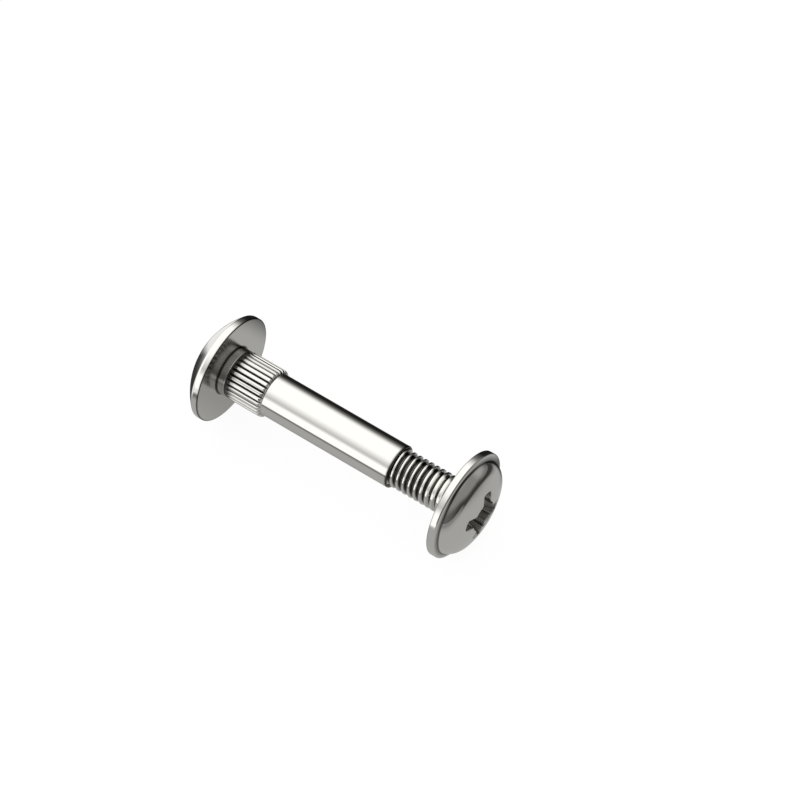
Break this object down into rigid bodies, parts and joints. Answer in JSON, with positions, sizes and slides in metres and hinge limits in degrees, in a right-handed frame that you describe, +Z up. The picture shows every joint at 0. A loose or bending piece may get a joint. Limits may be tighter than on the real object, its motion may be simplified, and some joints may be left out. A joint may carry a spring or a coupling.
{
  "type": "binding barrel screw",
  "caption": "Binding barrel screw: a ribbed sleeve nut with a domed head, and a matching domed machine screw with a cross recess that threads into its open end.",
  "frame": {"origin": "on the surface the bolt lies on, under the middle of its length; the bolt's axis is 8.5 mm above it", "axes": "+X along the bolt's axis from the barrel's head towards the screw's head, +Z up, +Y square to both"},
  "size_m": [0.0494, 0.017, 0.017],
  "materials": {
    "barrel_plate": "bright nickel plate on steel",
    "screw_plate": "bright nickel plate on steel"
  },
  "bodies": {
    "barrel": {"barrel": "barrel_plate"},
    "screw": {"screw": "screw_plate"}
  },
  "joints": [
    {"name": "screw_travel", "type": "slide", "parent": "barrel", "child": "screw", "axis": [1, 0, 0], "range_m": [-0.01055, 0.016]}
  ]
}
